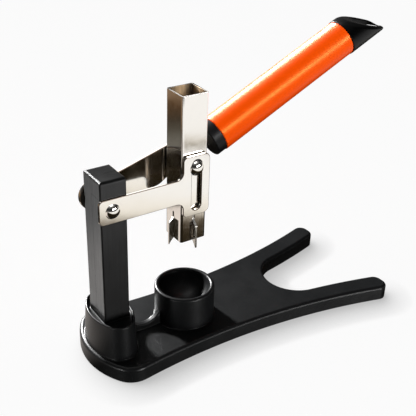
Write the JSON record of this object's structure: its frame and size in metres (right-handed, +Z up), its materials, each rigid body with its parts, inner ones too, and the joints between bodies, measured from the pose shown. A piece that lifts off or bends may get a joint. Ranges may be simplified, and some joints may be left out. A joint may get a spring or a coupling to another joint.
{
  "type": "lever nutcracker press",
  "caption": "bench lever press with a raised orange handle, a square ram with cross blades over a round nut cup, on a black fork-shaped base",
  "frame": {"origin": "on the underside of the sole, on the axis of the press (ram and cup)", "axes": "+X from the post towards the fork of the base and the handle, +Z up from the table, -Y the side of the guide bracket"},
  "size_m": [0.2629, 0.1092, 0.2119],
  "materials": {
    "black_moulding": "satin black moulding with a fine grain",
    "sole_rubber": "matt black rubber",
    "core_steel": "plain machined steel",
    "dark_screws": "blackened steel",
    "nickel_plate": "polished nickel, slightly warm",
    "blade_steel": "ground blade steel",
    "bush_bronze": "plain bearing bronze",
    "grey_core": "dark grey moulding, hidden",
    "orange_sleeve": "glossy orange plastic"
  },
  "bodies": {
    "stand": {"base": "black_moulding", "sole": "sole_rubber", "post_core": "core_steel", "post_rear_shell": "black_moulding", "post_front_shell": "black_moulding", "post_front_cap": "black_moulding", "shell_screws": "dark_screws", "base_screw": "core_steel", "base_washer": "core_steel", "guide_bracket": "nickel_plate", "pivot_pin": "nickel_plate", "pivot_washer": "nickel_plate", "pivot_nut": "nickel_plate"},
    "ram": {"ram_tube": "nickel_plate", "blade_long": "blade_steel", "blade_cross": "blade_steel", "blade_rivet": "blade_steel", "ram_pin": "nickel_plate", "guide_block": "core_steel", "ram_spacer": "nickel_plate", "ram_washer": "nickel_plate", "ram_nut": "nickel_plate"},
    "lever": {"lever_plate": "nickel_plate", "pivot_bush": "bush_bronze", "ferrule": "black_moulding", "handle_core": "grey_core", "tang_pins": "core_steel", "handle_sleeve": "orange_sleeve", "end_cap": "black_moulding"}
  },
  "joints": [
    {"name": "lever_pivot", "type": "hinge", "parent": "stand", "child": "lever", "pos_m": [-0.0625, 0.0137, 0.1222], "axis": [0, 1, 0], "range_deg": [0, 22.5]},
    {"name": "ram_slide", "type": "slide", "parent": "stand", "child": "ram", "axis": [0, 0, -1], "range_m": [0, 0.0249]}
  ],
  "couplings": [
    {"joint": "ram_slide", "follows": "lever_pivot", "m_per_rad": 0.0634}
  ]
}
